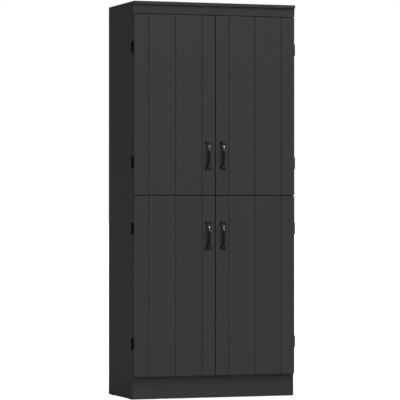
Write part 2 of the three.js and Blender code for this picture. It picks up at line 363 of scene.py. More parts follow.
PULL_ENAMEL = Finish(
    name="black_pull_enamel",
    slot=Slot.HANDLE,
    colour=(0.0058, 0.0058, 0.006),
    mottle=0.12,
    mottle_size=12 * MM,
    roughness=0.26,
    roughness_spread=0.03,
    relief=Relief.ORANGE_PEEL,
    relief_size=2.6 * MM,
    relief_height=0.02 * MM,
    specular=0.1,
)
HINGE_ENAMEL = replace(
    PULL_ENAMEL,
    name="black_hinge_enamel",
    slot=Slot.HINGE,
    colour=(0.0012, 0.0012, 0.0013),
    mottle_size=8 * MM,
    roughness=0.42,
    roughness_spread=0.06,
    relief_size=1.4 * MM,
    relief_height=0.03 * MM,
    specular=0.08,
)
SCREW_ENAMEL = Finish(
    name="worn_black_screw_heads",
    slot=Slot.HANDLE,
    colour=(0.05, 0.05, 0.052),
    mottle=0.3,
    mottle_size=1.5 * MM,
    roughness=0.38,
    roughness_spread=0.1,
    relief=Relief.SPANGLE,
    relief_size=0.8 * MM,
    relief_height=0.02 * MM,
    metallic=0.6,
)
HINGE_SCREWS = replace(
    SCREW_ENAMEL,
    name="black_hinge_screw_heads",
    slot=Slot.HINGE,
    colour=(0.012, 0.012, 0.012),
    roughness=0.4,
    metallic=0.5,
)
ZINC = Finish(
    name="zinc_plated_steel",
    slot=Slot.STEEL,
    colour=(0.52, 0.53, 0.54),
    mottle=0.12,
    mottle_size=6 * MM,
    roughness=0.36,
    roughness_spread=0.08,
    relief=Relief.SPANGLE,
    relief_size=2.5 * MM,
    relief_height=0.01 * MM,
    metallic=1.0,
)
CATCH_PLASTIC = Finish(
    name="black_catch_plastic",
    slot=Slot.CATCH,
    colour=(0.012, 0.012, 0.012),
    mottle=0.08,
    mottle_size=9 * MM,
    roughness=0.55,
    roughness_spread=0.05,
    relief=Relief.PEBBLE,
    relief_size=0.35 * MM,
    relief_height=0.02 * MM,
)
GLIDE_PLASTIC = replace(
    CATCH_PLASTIC,
    name="black_glide_plastic",
    slot=Slot.GLIDE,
    colour=(0.014, 0.014, 0.014),
    mottle=0.1,
    mottle_size=5 * MM,
    roughness=0.6,
    relief_size=0.4 * MM,
)


# ------------------------------------------------------------------ shapes
def board(low: Vector, high: Vector, arris: float, steps: int = 2) -> Solid:
    """Makes a board with eased edges.

    Args:
        low: The lowest corner.
        high: The highest corner.
        arris: The size of the easing.
        steps: The number of faces across it.

    Returns:
        The closed shape.
    """
    solid = bmesh.new()
    size = Matrix.Diagonal((*(high - low), 1.0))
    bmesh.ops.create_cube(solid, size=1.0, matrix=Matrix.Translation((low + high) / 2) @ size)
    ease(solid, arris, steps)
    return solid


def ease(solid: Solid, radius: float, steps: int, picks: Callable | None = None) -> None:
    """Rounds a solid's edges.

    Args:
        solid: The shape to change.
        radius: The size of the rounding.
        steps: The number of faces across it.
        picks: Says whether an edge is rounded. Without it, every corner over 60 degrees is.
    """
    chosen = picks or (lambda edge: edge.calc_face_angle(0.0) > SHARP_CORNER)
    edges = [edge for edge in solid.edges if chosen(edge)]
    bmesh.ops.bevel(
        solid,
        geom=edges,
        offset=radius,
        segments=steps,
        profile=0.5,
        affect="EDGES",
        clamp_overlap=True,
    )


def turned(profile: Profile, steps: int = 16) -> Solid:
    """Turns a profile about Z.

    Args:
        profile: Points of radius and height. Ends on the axis close it, or else it is a ring.
        steps: The number of faces around.

    Returns:
        The closed shape.
    """
    solid = bmesh.new()
    rings = []
    for radius, height in profile:
        count = steps if radius > 0 else 1
        angles = [2 * math.pi * index / steps for index in range(count)]
        spots = [(radius * math.cos(a), radius * math.sin(a), height) for a in angles]
        rings.append([solid.verts.new(spot) for spot in spots])
    pairs = list(zip(rings, rings[1:]))
    if profile[0][0] > 0:
        pairs.append((rings[-1], rings[0]))
    for lower, upper in pairs:
        join_rings(solid, lower, upper, steps)
    bmesh.ops.recalc_face_normals(solid, faces=solid.faces[:])
    return solid


def join_rings(solid: Solid, first: list, second: list, steps: int) -> None:
    """Faces the space between two rings of corners, either of which may be a single corner."""
    for index in range(steps):
        after = index + 1
        corners = [
            first[index % len(first)],
            first[after % len(first)],
            second[after % len(second)],
            second[index % len(second)],
        ]
        solid.faces.new(list(dict.fromkeys(corners)))


def lofted(rings: Sequence[Sequence[Vector]]) -> Solid:
    """Skins a row of equal rings of points, and closes both ends.

    Args:
        rings: The rings, each with the same number of points.

    Returns:
        The closed shape.
    """
    solid = bmesh.new()
    loops = [[solid.verts.new(point) for point in ring] for ring in rings]
    for first, second in zip(loops, loops[1:]):
        join_rings(solid, first, second, len(first))
    for loop in (loops[0], loops[-1]):
        middle = sum((corner.co for corner in loop), Vector()) / len(loop)
        join_rings(solid, loop, [solid.verts.new(middle)], len(loop))
    bmesh.ops.recalc_face_normals(solid, faces=solid.faces[:])
    return solid


def prism(outline: Profile, length: float, basis: Matrix) -> Solid:
    """Extrudes an outline.

    Args:
        outline: Points in the local XY plane.
        length: The length along local Z.
        basis: Where local axes lie.

    Returns:
        The closed shape.
    """
    solid = bmesh.new()
    ends = [[solid.verts.new((x, y, z)) for x, y in outline] for z in (0.0, length)]
    for end in ends:
        solid.faces.new(end)
    join_rings(solid, ends[0], ends[1], len(outline))
    solid.transform(basis)
    bmesh.ops.recalc_face_normals(solid, faces=solid.faces[:])
    return solid


def axes(x: Vector, y: Vector, z: Vector, origin: Vector) -> Matrix:
    """Returns the matrix that takes local axes to these directions from this origin."""
    return Matrix.Translation(origin) @ Matrix((x, y, z)).transposed().to_4x4()


def combined(operation: str, body: Solid, tools: Sequence[Solid]) -> Solid:
    """Joins tools to a solid, or cuts them out of it.

    Args:
        operation: UNION or DIFFERENCE.
        body: The solid to start from.
        tools: The solids to join or cut.

    Returns:
        The resulting shape. The shapes that went in are freed.
    """
    scratch = [linked("scratch", as_mesh("scratch", solid)) for solid in (body, *tools)]
    for tool in scratch[1:]:
        step = scratch[0].modifiers.new("step", "BOOLEAN")
        step.operation = operation
        step.solver = "EXACT"
        step.object = tool
    result = bmesh.new()
    result.from_mesh(evaluated_mesh(scratch[0]))
    for carrier in scratch:
        bpy.data.objects.remove(carrier)
    return result


def smooth_step(value: float) -> float:
    """Returns a share from 0 to 1 that starts and ends level."""
    share = min(1.0, max(0.0, value))
    return share * share * (3 - 2 * share)


def arc(centre: tuple[float, float], radius: float, start: float, sweep: float, steps: int) -> list:
    """Returns points on an arc, with angles in quarter turns."""
    angles = [(start + sweep * index / steps) * QUARTER for index in range(steps + 1)]
    return [(centre[0] + radius * math.cos(a), centre[1] + radius * math.sin(a)) for a in angles]


# ------------------------------------------------------------------ placing pieces
def set_down(
    name: str,
    shape: Solid | Mesh,
    finish: Finish,
    body: str,
    nodes: Sequence[str] = (),
    edging: Finish | None = None,
    crease: float = 35.0,
) -> Piece:
    """Turns a shape into a finished piece that rides on a body.

    Args:
        name: The piece's name.
        shape: The shape, in its place.
        finish: The finish it gets.
        body: The body it moves with.
        nodes: The part's own solids that it stands for.
        edging: The finish of its front edge, where that differs.
        crease: The angle in degrees past which an edge stays sharp.

    Returns:
        The piece.
    """
    mesh = as_mesh(name, shape) if isinstance(shape, Solid) else shape
    mesh.name = name
    mesh.materials.clear()
    mesh.materials.append(finish.material())
    if edging:
        mesh.materials.append(edging.material())
    for face in mesh.polygons:
        face.material_index = int(edging is not None and face.normal.y < EDGE_FACING)
    mesh.shade_smooth()
    mesh.set_sharp_from_angle(angle=math.radians(crease))
    piece = linked(name, mesh)
    weighting = piece.modifiers.new("weighting", "WEIGHTED_NORMAL")
    weighting.keep_sharp = True
    piece.data = evaluated_mesh(piece)
    piece.modifiers.remove(weighting)
    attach(piece, body)
    if nodes:
        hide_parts(*nodes)
    LOG.info("%s: %d faces, on %s, for %s", name, len(piece.data.polygons), body, list(nodes) or "detail")
    return piece


def fastener_tree() -> ShapeTree:
    """Returns the tree that stands one small fitting on each point, facing the way the point says."""
    inputs = {
        "Object": ["Head"],
        "Float": ["Head Radius", "Head Height"],
        "Int": ["Turn Seed"],
        "Material": ["Finish"],
    }
    tree = ShapeTree("stand_fittings", inputs)
    given = tree.given
    width, height = given["Head Radius"], given["Head Height"]
    size = tree.vector(width, width, height)
    head = tree.node("GeometryNodeObjectInfo", {"Object": given["Head"]})
    wires = {"Geometry": head.outputs["Geometry"], "Scale": size}
    sized = tree.node("GeometryNodeTransform", wires)
    facing = tree.node("GeometryNodeInputNamedAttribute", {"Name": "facing"}, data_type="FLOAT_VECTOR")
    wires = {"Vector": facing.outputs["Attribute"]}
    upright = tree.node("FunctionNodeAlignRotationToVector", wires, axis="Z")
    wires = {2: 0.0, 3: 2 * math.pi, 8: given["Turn Seed"]}
    turn = tree.node("FunctionNodeRandomValue", wires, data_type="FLOAT")
    spin = tree.node("FunctionNodeAxisAngleToRotation", {"Axis": (0, 0, 1), "Angle": turn.outputs[1]})
    wires = {"Rotation": upright.outputs[0], "Rotate By": spin.outputs[0]}
    turned_head = tree.node("FunctionNodeRotateRotation", wires, rotation_space="LOCAL")
    wires = {
        "Points": given["Geometry"],
        "Instance": sized.outputs[0],
        "Rotation": turned_head.outputs[0],
    }
    tree.finish(tree.node("GeometryNodeInstanceOnPoints", wires).outputs[0])
    return tree


def groove_tree() -> ShapeTree:
    """Returns the tree that cuts a slab into boards with a cutter repeated at the board pitch."""
    inputs = {
        "Object": ["Cutter"],
        "Float": ["First Groove", "Board Pitch", "Front", "Bottom"],
        "Int": ["Groove Count"],
        "Material": ["Finish"],
    }
    tree = ShapeTree("groove_boards", inputs)
    given = tree.given
    wires = {
        "Count": given["Groove Count"],
        "Start Location": tree.vector(given["First Groove"], given["Front"], given["Bottom"]),
        "Offset": tree.vector(given["Board Pitch"]),
    }
    row = tree.node("GeometryNodeMeshLine", wires, mode="OFFSET", count_mode="TOTAL")
    cutter = tree.node("GeometryNodeObjectInfo", {"Object": given["Cutter"]})
    wires = {"Points": row.outputs[0], "Instance": cutter.outputs["Geometry"]}
    cutters = tree.node("GeometryNodeInstanceOnPoints", wires)
    tree.finish(carve(tree, given["Geometry"], cutters.outputs[0]))
    return tree


def carve(tree: ShapeTree, solid: Socket, cutters: Socket) -> Socket:
    """Cuts instances out of a solid.

    Args:
        tree: The tree to add to.
        solid: What is cut.
        cutters: What cuts it.

    Returns:
        What is left.
    """
    real = tree.node("GeometryNodeRealizeInstances", {"Geometry": cutters})
    wires = {0: solid, 1: real.outputs[0]}
    kept = tree.node("GeometryNodeMeshBoolean", wires, operation="DIFFERENCE", solver="EXACT")
    return kept.outputs[0]


def drilling_tree() -> ShapeTree:
    """Returns the tree that drills two bays of shelf-peg holes into a side board's inner face."""
    placing = ["Face", "Column Middle", "Columns Apart", "Pitch", "Upper Middle", "Lower Middle"]
    inputs = {
        "Float": [*placing, "Hole Radius", "Hole Depth"],
        "Int": ["Upper Count", "Lower Count"],
        "Material": ["Finish"],
    }
    tree = ShapeTree("drill_peg_holes", inputs)
    given = tree.given
    both_ways = tree.maths("MULTIPLY", given["Hole Depth"], 2.0)
    wires = {"Vertices": HOLE_SIDES, "Radius": given["Hole Radius"], "Depth": both_ways}
    drill = tree.node("GeometryNodeMeshCylinder", wires)
    bays = tree.node("GeometryNodeJoinGeometry")
    for bay in ("Upper", "Lower"):
        gaps = tree.maths("SUBTRACT", given[f"{bay} Count"], 1.0)
        wires = {
            "Size X": given["Columns Apart"],
            "Size Y": tree.maths("MULTIPLY", gaps, given["Pitch"]),
            "Vertices X": 2,
            "Vertices Y": given[f"{bay} Count"],
        }
        grid = tree.node("GeometryNodeMeshGrid", wires)
        wires = {"Points": grid.outputs[0], "Instance": drill.outputs[0]}
        drills = tree.node("GeometryNodeInstanceOnPoints", wires)
        wires = {
            "Geometry": drills.outputs[0],
            "Translation": tree.vector(given["Face"], given["Column Middle"], given[f"{bay} Middle"]),
            "Rotation": (QUARTER, 0, QUARTER),
        }
        stood = tree.node("GeometryNodeTransform", wires)
        tree.tree.links.new(stood.outputs[0], bays.inputs[0])
    tree.finish(carve(tree, given["Geometry"], bays.outputs[0]))
    return tree


class Workshop:
    """Holds the trees and the fitting heads that every sub-assembly shares."""

    # The cross recess, in shares of the head's radius and height.
    CROSS_ARM = 0.13
    CROSS_REACH = 0.58
    CROSS_FLOOR = 0.35
    CROSS_TOP = 2.0
    CROSS_ARRIS = 0.02

    def __init__(self) -> None:
        """Builds the trees."""
        self.fasteners = fastener_tree()
        self.grooves = groove_tree()
        self.drilling = drilling_tree()

    def head_object(self, head: Head) -> Piece:
        """Returns a unit fitting, with a cross recess where the kind has one."""
        profile, crossed = head.value
        solid = turned(profile)
        if crossed:
            cuts = []
            for x, y in ((self.CROSS_REACH, self.CROSS_ARM), (self.CROSS_ARM, self.CROSS_REACH)):
                low, high = Vector((-x, -y, self.CROSS_FLOOR)), Vector((x, y, self.CROSS_TOP))
                cuts.append(board(low, high, self.CROSS_ARRIS, 1))
            solid = combined("DIFFERENCE", solid, cuts)
        return bpy.data.objects.new(head.name, as_mesh(head.name, solid))

    def fit(
        self,
        name: str,
        places: Sequence[tuple[Vector, Vector]],
        head: Head,
        size: tuple[float, float],
        finish: Finish,
        body: str,
    ) -> Piece:
        """Stands a small fitting at each place.

        Args:
            name: The name of the one piece that they make.
            places: Each one's foot and the way it faces.
            head: The kind of fitting.
            size: Its radius and height.
            finish: Its finish.
            body: The body that they all ride on.

        Returns:
            The piece.
        """
        points = bpy.data.meshes.new(name)
        points.from_pydata([foot for foot, _ in places], [], [])
        facing = points.attributes.new("facing", "FLOAT_VECTOR", "POINT")
        for item, (_, direction) in zip(facing.data, places):
            item.vector = direction
        template = self.head_object(head)
        values = {
            "Head": template,
            "Head Radius": size[0],
            "Head Height": size[1],
            "Turn Seed": len(places),
            "Finish": finish.material(),
        }
        mesh = self.fasteners.run(points, values)
        bpy.data.objects.remove(template)
        return set_down(name, mesh, finish, body)


OUT_FRONT = Vector((0, -1, 0))
OUT_BACK = Vector((0, 1, 0))
UP = Vector((0, 0, 1))
DOWN = Vector((0, 0, -1))
ALONG = Vector((1, 0, 0))


# ------------------------------------------------------------------ carcass
@dataclass
class Carcass:
    """The boards that don't move, with their pegs, cams and nails."""

    arris: float = 0.8 * MM
    sheet_arris: float = 0.3 * MM
    groove_depth: float = 6 * MM
    groove_slack: float = 0.2 * MM
    peg_radius: float = 2.5 * MM
    peg_length: float = 9 * MM
    hole_depth: float = 10 * MM
    hole_slack: float = 0.15 * MM
    column_inset: float = 45 * MM
    rows_between_shelves: int = 9
    rows_beyond_shelves: int = 5
    cam_radius: float = 7.5 * MM
    cam_height: float = 0.8 * MM
    cam_from_side: float = 34 * MM
    nail_radius: float = 2 * MM
    nail_height: float = 0.5 * MM
    nails_in_row: int = 8
    nail_share: float = 0.25

    def __post_init__(self) -> None:
        """Reads the places that the boards share."""
        self.shelves = [
            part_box("upper_adjustable_shelf_1"),
            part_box("upper_adjustable_shelf_2"),
            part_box("lower_adjustable_shelf_1"),
        ]
        low, high = self.shelves[0]
        self.columns = (low.y + self.column_inset, high.y - self.column_inset)

    def dress(self, shop: Workshop) -> None:
        """Builds and finishes every board and fitting of the carcass."""
        plain = {
            "top_board": "top_panel",
            "middle_shelf_board": "fixed_middle_shelf",
            "bottom_board": "bottom_panel",
            "plinth_rail_board": "rear_plinth_rail",
            "loose_shelf_upper_1": "upper_adjustable_shelf_1",
            "loose_shelf_upper_2": "upper_adjustable_shelf_2",
            "loose_shelf_lower_1": "lower_adjustable_shelf_1",
        }
        for name, node in plain.items():
            set_down(name, board(*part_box(node), self.arris), BOARD_FACE, CARCASS, [node], EDGE_BAND)
        kick = board(*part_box("toe_kick"), self.arris)
        set_down("kick_board", kick, EDGE_BAND, CARCASS, ["toe_kick"])
        fascia = board(*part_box("top_fascia"), self.arris)
        set_down("fascia_board", fascia, DOOR_PAINT, CARCASS, ["top_fascia"])
        for row in Row:
            node = f"back_panel_{row.value}"
            sheet = board(*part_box(node), self.sheet_arris, 1)
            set_down(f"back_sheet_{row.value}", sheet, HARDBOARD, CARCASS, [node])
        for side in Side:
            node = f"{side.word}_side_panel"
            mesh = self.side_board(shop, side)
            set_down(f"side_board_{side.word}", mesh, BOARD_FACE, CARCASS, [node], EDGE_BAND)
        self.fit_pegs(shop)
        self.fit_cams(shop)
        self.fit_nails(shop)

    def side_board(self, shop: Workshop, side: Side) -> Mesh:
        """Makes a side board with its back groove and its two bays of peg holes.

        Args:
            shop: The shared trees.
            side: Which side it is on.

        Returns:
            The finished mesh.
        """
        low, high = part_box(f"{side.word}_side_panel")
        back_low, back_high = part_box("back_panel_upper")
        face = low.x if side is Side.RIGHT else high.x
        deep = face + side.value * self.groove_depth
        open_side = face - side.value * self.groove_depth
        slack = Vector((0, self.groove_slack, high.z))
        near = Vector((min(deep, open_side), back_low.y, 0)) - slack
        far = Vector((max(deep, open_side), back_high.y, high.z)) + slack
        groove = board(near, far, self.sheet_arris, 1)
        solid = combined("DIFFERENCE", board(low, high, self.arris), [groove])
        mesh = as_mesh(f"side_board_{side.word}", solid)
        first, second, lower = (low.z - self.peg_radius for low, _ in self.shelves)
        pitch = (second - first) / self.rows_between_shelves
        upper_rows = self.rows_between_shelves + 2 * self.rows_beyond_shelves + 1
        lower_rows = 2 * self.rows_between_shelves + 1
        values = {
            "Face": face,
            "Column Middle": sum(self.columns) / 2,
            "Columns Apart": self.columns[1] - self.columns[0],
            "Pitch": pitch,
            "Hole Radius": self.peg_radius + self.hole_slack,
            "Hole Depth": self.hole_depth,
            "Upper Count": upper_rows,
            "Upper Middle": (first + second) / 2,
            "Lower Count": lower_rows,
            "Lower Middle": lower,
            "Finish": BOARD_FACE.material(),
        }
        return shop.drilling.run(mesh, values)

    def corners(self, inset: float, height: float) -> list[tuple[Side, Vector]]:
        """Returns four places at a height, on both columns, this far in from the side boards."""
        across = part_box("right_side_panel")[0].x - inset
        pairs = [(side, column) for side in Side for column in self.columns]
        return [(side, Vector((side.value * across, column, height))) for side, column in pairs]

    def fit_pegs(self, shop: Workshop) -> None:
        """Stands four pegs under each loose shelf."""
        places = []
        for low, _ in self.shelves:
            for side, foot in self.corners(0.0, low.z - self.peg_radius):
                places.append((foot, -side.value * ALONG))
        shop.fit("shelf_pegs", places, Head.PEG, (self.peg_radius, self.peg_length), ZINC, CARCASS)

    def fit_cams(self, shop: Workshop) -> None:
        """Sets cam locks in the undersides of the boards that hold the sides together."""
        places = []
        for node in ("top_panel", "fixed_middle_shelf", "bottom_panel"):
            low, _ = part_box(node)
            places += [(spot, DOWN) for _, spot in self.corners(self.cam_from_side, low.z)]
        shop.fit("cam_locks", places, Head.CAM, (self.cam_radius, self.cam_height), ZINC, CARCASS)

    def fit_nails(self, shop: Workshop) -> None:
        """Nails the back sheets to the back edges of the middle and bottom boards."""
        places = []
        for row, node, upwards in (
            (Row.UPPER, "fixed_middle_shelf", True),
            (Row.LOWER, "fixed_middle_shelf", False),
            (Row.LOWER, "bottom_panel", False),
        ):
            _, sheet_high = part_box(f"back_panel_{row.value}")
            low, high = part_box(node)
            share = 1 - self.nail_share if upwards else self.nail_share
            height = low.z + share * (high.z - low.z)
            step = (high.x - low.x) / self.nails_in_row
            for index in range(self.nails_in_row):
                spot = Vector((low.x + (index + 0.5) * step, sheet_high.y, height))
                places.append((spot, OUT_BACK))
        shop.fit("back_sheet_nails", places, Head.NAIL, (self.nail_radius, self.nail_height), ZINC, CARCASS)


@dataclass
class WallBracket:
    """A bent steel angle under the top board that a wall screw goes through."""

    side: Side
    strip: float = 2 * MM
    bend: float = 3 * MM
    bend_steps: int = 5
    corner: float = 0.35 * MM
    screw_radius: float = 3.6 * MM
    screw_height: float = 2 * MM
    screw_share: float = 0.68

    def dress(self, shop: Workshop) -> None:
        """Builds and finishes the angle and its two screws."""
        node = f"wall_bracket_{self.side.word}"
        low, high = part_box(node)
        set_down(node + "_angle", self.angle(low, high), ZINC, CARCASS, [node])
        middle = (low.x + high.x) / 2
        leg = (high.y - low.y) * self.screw_share
        places = [
            (Vector((middle, high.y - leg, high.z - self.strip)), DOWN),
            (Vector((middle, high.y - self.strip, high.z - leg)), OUT_FRONT),
        ]
        size = (self.screw_radius, self.screw_height)
        shop.fit(node + "_screws", places, Head.DOMED, size, ZINC, CARCASS)

    def angle(self, low: Vector, high: Vector) -> Solid:
        """Makes the bent strip.

        Args:
            low: The lowest corner of its box.
            high: The highest corner.

        Returns:
            The closed shape.
        """
        leg, strip = high.y - low.y, self.strip
        outside = arc((-self.bend, -self.bend), self.bend, 0, 1, self.bend_steps)
        inside_radius = self.bend - strip
        inside = arc((-self.bend, -self.bend), inside_radius, 1, -1, self.bend_steps)
        outline = [(0, -leg), *outside, (-leg, 0), (-leg, -strip), *inside, (-strip, -leg)]
        origin = Vector((low.x, high.y, high.z))
        solid = prism(outline, high.x - low.x, axes(OUT_BACK, UP, ALONG, origin))
        ease(solid, self.corner, 1)
        return solid


@dataclass
class MagneticCatch:
    """A double magnetic catch on the fixed shelf, for one row of doors."""

    row: Row
    corner: float = 1.2 * MM
    corner_steps: int = 3
    pocket_arris: float = 0.2 * MM
    pocket_width: float = 15 * MM
    pocket_height: float = 7 * MM
    pocket_depth: float = 2.5 * MM
    magnet_inset: float = 0.4 * MM
    magnet_centre: float = 12 * MM
    pole_thickness: float = 1.2 * MM
    pole_slack: float = 0.3 * MM
    pole_arris: float = 0.15 * MM
    screw_radius: float = 3 * MM
    screw_height: float = 1.2 * MM

    def dress(self, shop: Workshop) -> None:
        """Builds and finishes the housing, its magnets and its screw."""
        node = f"{self.row.value}_magnetic_catch"
        low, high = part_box(node)
        centre = (low + high) / 2
        pockets, poles = [], []
        for side in Side:
            x = centre.x + side.value * self.magnet_centre
            half = Vector((self.pocket_width / 2, 0, self.pocket_height / 2))
            spot = Vector((x, low.y, centre.z))
            deep = Vector((0, self.pocket_depth, 0))
            pockets.append(board(spot - half - deep, spot + half + deep, self.pocket_arris, 1))
            for end in (-1, 1):
                shift = Vector((0, self.magnet_inset, end * (self.pocket_height / 2 - self.pole_thickness)))
                pole = Vector((half.x - self.pole_slack, 0, self.pole_thickness / 2))
                near, far = spot + shift - pole, spot + shift + pole + deep
                poles.append(board(near, far, self.pole_arris, 1))
        housing = combined("DIFFERENCE", board(low, high, self.corner, self.corner_steps), pockets)
        set_down(f"catch_housing_{self.row.value}", housing, CATCH_PLASTIC, CARCASS, [node])
        steel = combined("UNION", poles[0], poles[1:])
        set_down(f"catch_poles_{self.row.value}", steel, ZINC, CARCASS)
        facing = UP if self.row is Row.UPPER else DOWN
        top = high.z if self.row is Row.UPPER else low.z
        places = [(Vector((centre.x, centre.y, top)), facing)]
        size = (self.screw_radius, self.screw_height)
        shop.fit(f"catch_screw_{self.row.value}", places, Head.DOMED, size, ZINC, CARCASS)


@dataclass
class FloorGlides:
    """The four nail-on glides under the side boards, with a profile in shares of radius and height."""

    profile: Profile = ((0, 0), (0.6, 0), (0.85, 0.12), (1, 0.45), (1, 0.9), (0.96, 1), (0, 1))
    steps: int = 20

    def dress(self) -> None:
        """Builds and finishes each glide."""
        for end in ("front", "rear"):
            for side in Side:
                node = f"floor_glide_{end}_{side.word}"
                low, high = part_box(node)
                radius, height = (high.x - low.x) / 2, high.z - low.z
                solid = turned([(radius * x, height * z) for x, z in self.profile], self.steps)
                solid.transform(Matrix.Translation(((low.x + high.x) / 2, (low.y + high.y) / 2, low.z)))
                set_down(node + "_disc", solid, GLIDE_PLASTIC, CARCASS, [node])


# ------------------------------------------------------------------ hinges
@dataclass
class ButtHinge:
    """A three-knuckle hinge: a leaf on the side board, a leaf on the door, and a loose pin.

    The button at each end of the pin is a profile in shares of its radius and height.
    """

    row: Row
    side: Side
    place: HingePlace
    knuckle_radius: float = 3.5 * MM
    bore_radius: float = 1.56 * MM
    pin_radius: float = 1.5 * MM
    button: Profile = ((1, 0), (1, 0.45), (0.86, 0.8), (0.5, 0.97), (0, 1))
    knuckle_ease: float = 0.9 * MM
    ease_share: float = 0.3
    knuckle_gap: float = 0.3 * MM
    leaf_gap: float = 0.2 * MM
    leaf_thickness: float = 1.2 * MM
    leaf_root: float = 2.1 * MM
    leaf_corner: float = 3 * MM
    corner_steps: int = 4
    leaf_arris: float = 0.25 * MM
    notch: float = 4.1 * MM
    screw_radius: float = 3 * MM
    screw_height: float = 0.1 * MM
    screw_from_edge: float = 6.5 * MM
    screw_from_middle: float = 16 * MM
    steps: int = 24

    def __post_init__(self) -> None:
        """Finds the hinge's axis and height from its pin and leaf."""
        self.key = f"{self.row.value}_{self.side.word}_{self.place.value}"
        low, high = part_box(f"hinge_pin_{self.key}")
        self.centre = (low + high) / 2
        self.pin_half = (high.z - low.z) / 2
        low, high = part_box(f"hinge_frame_leaf_{self.key}")
        self.half = (high.z - low.z) / 2
        self.inwards = -self.side.value
        self.door_body = f"door_{self.row.value}_{self.side.word}_body"

    def reach(self, node: str) -> float:
        """Returns how far a leaf runs inwards from the axis."""
        low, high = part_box(node)
        return (high.x if self.inwards > 0 else -low.x) - self.inwards * self.centre.x

    def leaf(self, width: float, is_frame: bool) -> Solid:
        """Makes a leaf with its own knuckles.

        Args:
            width: How far the leaf runs inwards from the axis.
            is_frame: Whether it holds the two outer knuckles or the middle one.

        Returns:
            The closed shape, in its place.
        """
        half, third = self.half, self.half / 3
        root, notch = self.leaf_root, self.notch
        corner, steps = self.leaf_corner, self.corner_steps
        outer = [
            *arc((width - corner, corner - half), corner, -1, 1, steps),
            *arc((width - corner, half - corner), corner, 0, 1, steps),
        ]
        if is_frame:
            clear = third + self.knuckle_gap
            outline = [(root, -half), *outer, (root, half), (root, clear), (notch, clear)]
            outline += [(notch, -clear), (root, -clear)]
            spans = [(-half, -third), (third, half)]
        else:
            tongue = third - self.knuckle_gap
            outline = [(notch, -half), *outer, (notch, half), (notch, tongue), (root, tongue)]
            outline += [(root, -tongue), (notch, -tongue)]
            spans = [(-tongue, tongue)]
        front = self.leaf_gap if is_frame else -self.leaf_gap - self.leaf_thickness
        origin = self.centre + Vector((0, front, 0))
        plate = prism(outline, self.leaf_thickness, axes(self.inwards * ALONG, UP, OUT_BACK, origin))
        ease(plate, self.leaf_arris, 1)
        barrels = [self.knuckle(*span) for span in spans]
        return combined("UNION", plate, barrels)

    def knuckle(self, bottom: float, top: float) -> Solid:
        """Makes one bored knuckle between two heights."""
        inner, outer, rim = self.bore_radius, self.knuckle_radius, self.knuckle_ease
        turn = rim * self.ease_share
        profile = [(inner, bottom), (outer - rim, bottom), (outer - turn, bottom + turn)]
        profile += [(outer, bottom + rim), (outer, top - rim), (outer - turn, top - turn)]
        profile += [(outer - rim, top), (inner, top)]
        solid = turned(profile, self.steps)
        solid.transform(Matrix.Translation(self.centre))
        return solid

    def pin(self) -> Solid:
        """Makes the pin with a button at each end."""
        low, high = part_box(f"hinge_pin_{self.key}")
        head = (high.x - low.x) / 2
        button = self.pin_half - self.half - self.knuckle_gap
        start = self.half + self.knuckle_gap
        crown = [(head * share, start + rise * button) for share, rise in self.button]
        rising = [(self.pin_radius, start), *crown]
        profile = [(radius, -height) for radius, height in reversed(rising)] + rising
        solid = turned(profile, self.steps)
        solid.transform(Matrix.Translation(self.centre))
        return solid

    def screws(self, width: float, is_frame: bool) -> list[tuple[Vector, Vector]]:
        """Returns the two screw places on a leaf.

        Args:
            width: How far the leaf runs inwards from the axis.
            is_frame: Which leaf it is.

        Returns:
            Each screw's foot and the way it faces.
        """
        face = self.leaf_gap if is_frame else -self.leaf_gap
        facing = OUT_FRONT if is_frame else OUT_BACK
        x = self.inwards * (width - self.screw_from_edge)
        heights = (-self.screw_from_middle, self.screw_from_middle)
        return [(self.centre + Vector((x, face, height)), facing) for height in heights]

    def dress(self, shop: Workshop) -> None:
        """Builds and finishes both leaves, the pin and the screws."""
        for is_frame in (True, False):
            word = "frame" if is_frame else "door"
            node = f"hinge_{word}_leaf_{self.key}"
            body = CARCASS if is_frame else self.door_body
            width = self.reach(node)
            set_down(node + "_steel", self.leaf(width, is_frame), HINGE_ENAMEL, body, [node])
            size = (self.screw_radius, self.screw_height)
            name = f"hinge_{word}_screws_{self.key}"
            shop.fit(name, self.screws(width, is_frame), Head.FLUSH, size, HINGE_SCREWS, body)
        node = f"hinge_pin_{self.key}"
        set_down(node + "_steel", self.pin(), HINGE_ENAMEL, CARCASS, [node])


